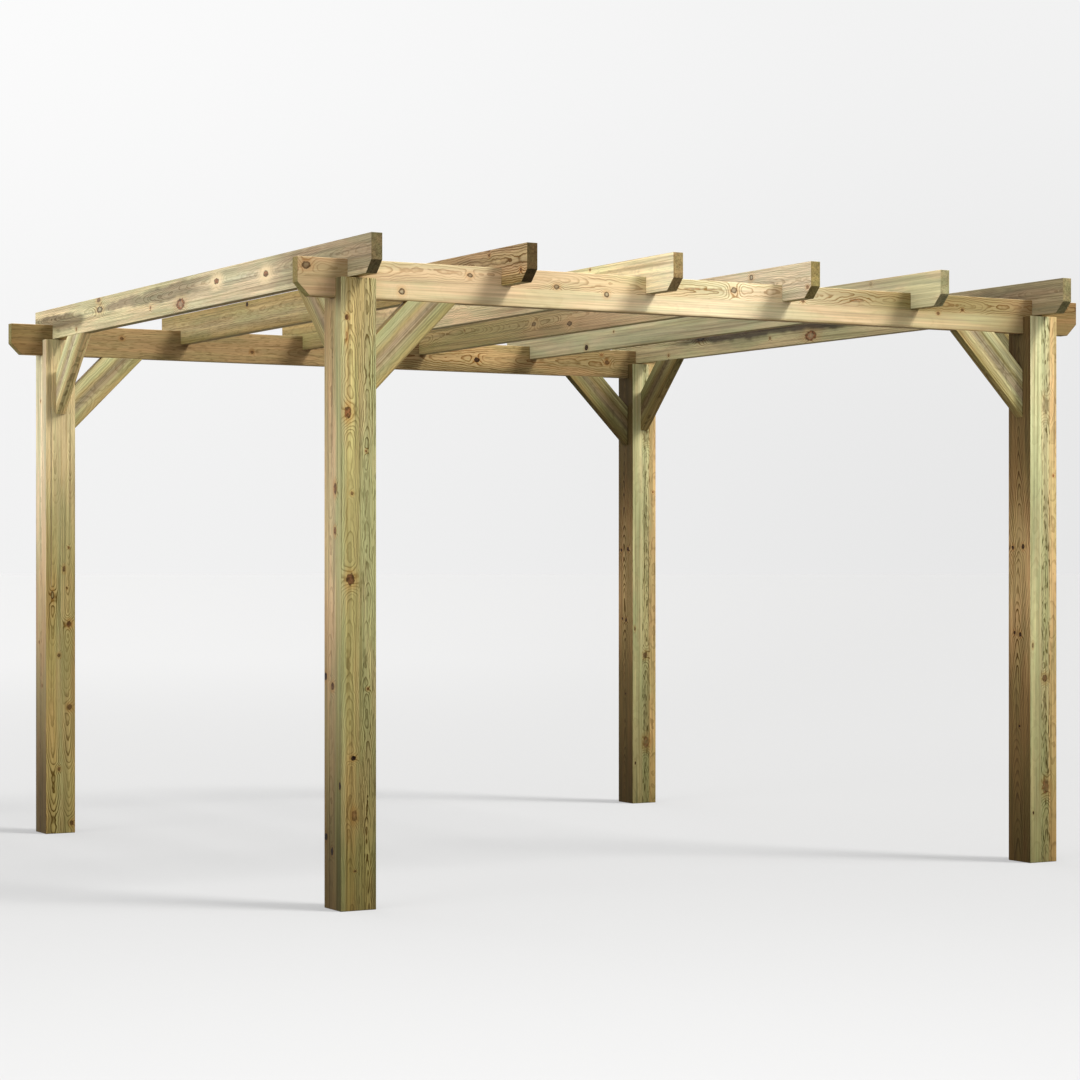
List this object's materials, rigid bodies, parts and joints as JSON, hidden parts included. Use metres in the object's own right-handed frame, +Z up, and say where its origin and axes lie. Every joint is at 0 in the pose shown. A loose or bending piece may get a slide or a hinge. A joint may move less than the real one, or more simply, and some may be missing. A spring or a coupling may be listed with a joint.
{
  "type": "wooden garden pergola",
  "caption": "Freestanding open pergola in treated softwood: forked square posts carry two beams, notched rafters with cut ends and mitred corner braces",
  "frame": {"origin": "on the ground at the middle of the footprint", "axes": "+X along the beams to the right, +Y along the rafters to the rear, +Z up"},
  "size_m": [3.7, 3.7, 2.49],
  "materials": {
    "post_timber": "planed pressure-treated softwood, straw yellow with a green tint and reddish knots",
    "beam_timber": "planed pressure-treated softwood, warm tan with brown knots",
    "rafter_timber": "planed pressure-treated softwood, pale straw to grey-green, olive end grain",
    "brace_timber": "planed pressure-treated softwood, olive green with a brown heart stripe"
  },
  "bodies": {
    "root": {"post_front_left": "post_timber", "post_front_right": "post_timber", "post_rear_left": "post_timber", "post_rear_right": "post_timber", "beam_front": "beam_timber", "beam_rear": "beam_timber", "rafter_1": "rafter_timber", "rafter_2": "rafter_timber", "rafter_3": "rafter_timber", "rafter_4": "rafter_timber", "rafter_5": "rafter_timber", "rafter_6": "rafter_timber", "beam_brace_front_left": "brace_timber", "beam_brace_front_right": "brace_timber", "beam_brace_rear_left": "brace_timber", "beam_brace_rear_right": "brace_timber", "rafter_brace_front_left": "brace_timber", "rafter_brace_front_right": "brace_timber", "rafter_brace_rear_left": "brace_timber", "rafter_brace_rear_right": "brace_timber"}
  },
  "joints": []
}
